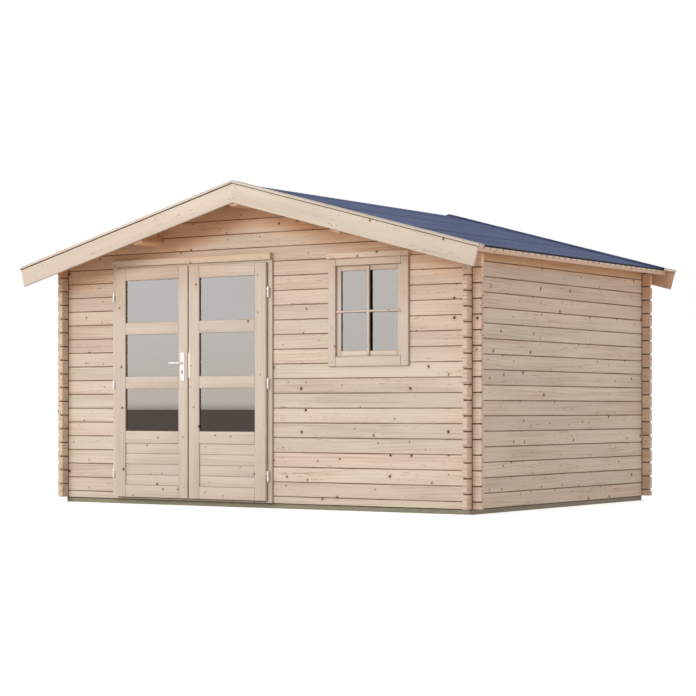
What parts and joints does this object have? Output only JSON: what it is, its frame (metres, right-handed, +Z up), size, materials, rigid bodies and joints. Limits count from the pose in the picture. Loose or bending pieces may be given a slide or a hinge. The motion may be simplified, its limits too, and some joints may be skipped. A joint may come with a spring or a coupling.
{
  "type": "log cabin garden shed",
  "caption": "Log cabin garden shed with crossed corner logs, a felted gable roof, a glazed double door with a lever handle and one casement-style window.",
  "frame": {"origin": "centre of the bounding box's foot, at the underside of the bearers", "axes": "+Z up, -Y out of the door front, +X to the right of someone facing the door"},
  "size_m": [4.3904, 3.341, 2.5311],
  "materials": {
    "wall_logs": "planed spruce, unpainted",
    "roof_timber": "planed spruce, unpainted",
    "joinery": "planed spruce, unpainted",
    "floor_timber": "planed spruce, unpainted",
    "treated_wood": "pressure-treated, rough",
    "roof_felt": "mineral-faced roofing felt, matte",
    "glass": "clear flat glass",
    "hardware": "bright zinc-plated steel"
  },
  "bodies": {
    "cabin": {"long_bearers": "treated_wood", "side_bearers": "treated_wood", "floor_joists": "treated_wood", "floor_boards": "floor_timber", "front_wall_left": "wall_logs", "front_wall_middle": "wall_logs", "front_wall_under_window": "wall_logs", "front_wall_right": "wall_logs", "front_gable": "wall_logs", "left_wall": "wall_logs", "right_wall": "wall_logs", "back_wall": "wall_logs", "ridge_purlin": "roof_timber", "left_purlin": "roof_timber", "right_purlin": "roof_timber", "left_roof_boards": "roof_timber", "right_roof_boards": "roof_timber", "left_felt": "roof_felt", "right_felt": "roof_felt", "eave_laths": "roof_timber", "front_left_barge": "roof_timber", "front_right_barge": "roof_timber", "rear_left_barge": "roof_timber", "rear_right_barge": "roof_timber", "front_caps": "roof_timber", "rear_caps": "roof_timber", "door_jambs": "joinery", "door_head": "joinery", "door_threshold": "joinery", "door_drip_board": "joinery", "frame_hinges": "hardware", "window_frame": "joinery", "window_sash": "joinery", "window_glass": "glass", "window_side_casings": "joinery", "window_cross_casings": "joinery", "window_drip_board": "joinery"},
    "left_door": {"left_leaf": "joinery", "left_leaf_panel": "joinery", "left_leaf_glass": "glass", "left_leaf_hinges": "hardware", "handle_plate": "hardware"},
    "right_door": {"right_leaf": "joinery", "right_leaf_panel": "joinery", "right_leaf_glass": "glass", "right_leaf_hinges": "hardware", "lock_strip": "hardware"},
    "door_lever": {"lever": "hardware"}
  },
  "joints": [
    {"name": "left_door_hinge", "type": "hinge", "parent": "cabin", "child": "left_door", "pos_m": [-1.397, -1.411, 0.942], "axis": [0, 0, -1], "range_deg": [0, 110]},
    {"name": "right_door_hinge", "type": "hinge", "parent": "cabin", "child": "right_door", "pos_m": [0.157, -1.411, 0.942], "axis": [0, 0, 1], "range_deg": [0, 110]},
    {"name": "lever_turn", "type": "hinge", "parent": "left_door", "child": "door_lever", "pos_m": [-0.6775, -1.4315, 1.139], "axis": [0, -1, 0], "range_deg": [0, 40], "stiffness_Nm_per_rad": 0.8, "springref_deg": -20.05}
  ]
}
